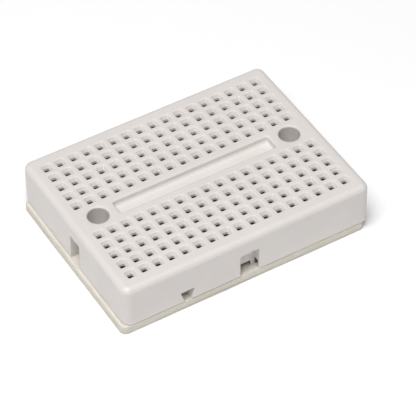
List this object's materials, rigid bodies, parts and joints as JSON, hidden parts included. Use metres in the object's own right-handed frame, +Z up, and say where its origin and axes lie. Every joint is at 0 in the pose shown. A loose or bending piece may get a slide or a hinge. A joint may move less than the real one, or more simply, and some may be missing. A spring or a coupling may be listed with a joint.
{
  "type": "solderless breadboard",
  "caption": "Small solderless breadboard: white block with a grid of square contact holes, a centre trench, screw holes and a peel-off backed foam pad.",
  "frame": {"origin": "centre of the housing's footprint, on the surface the board stands on (the underside of the release liner)", "axes": "+X along the long side of the housing, parallel to the centre trench; +Y along the short side, away from the side with the interlock slots; +Z up, out of the face with the contact holes"},
  "size_m": [0.0484, 0.0357, 0.0098],
  "materials": {
    "housing": "fine satin, white ABS",
    "clips": "nickel-plated phosphor bronze strip",
    "foam": "cream closed-cell foam, adhesive on both faces",
    "liner": "thin waxed paper"
  },
  "bodies": {
    "board": {"housing": "housing", "foam_pad": "foam", "clip_front_01": "clips", "clip_front_02": "clips", "clip_front_03": "clips", "clip_front_04": "clips", "clip_front_05": "clips", "clip_front_06": "clips", "clip_front_07": "clips", "clip_front_08": "clips", "clip_front_09": "clips", "clip_front_10": "clips", "clip_front_11": "clips", "clip_front_12": "clips", "clip_front_13": "clips", "clip_front_14": "clips", "clip_front_15": "clips", "clip_front_16": "clips", "clip_front_17": "clips", "clip_back_01": "clips", "clip_back_02": "clips", "clip_back_03": "clips", "clip_back_04": "clips", "clip_back_05": "clips", "clip_back_06": "clips", "clip_back_07": "clips", "clip_back_08": "clips", "clip_back_09": "clips", "clip_back_10": "clips", "clip_back_11": "clips", "clip_back_12": "clips", "clip_back_13": "clips", "clip_back_14": "clips", "clip_back_15": "clips", "clip_back_16": "clips", "clip_back_17": "clips"},
    "liner": {"release_liner": "liner"}
  },
  "joints": [
    {"name": "liner_peel", "type": "slide", "parent": "board", "child": "liner", "axis": [-1, 0, 0], "range_m": [0, 0.048]}
  ]
}
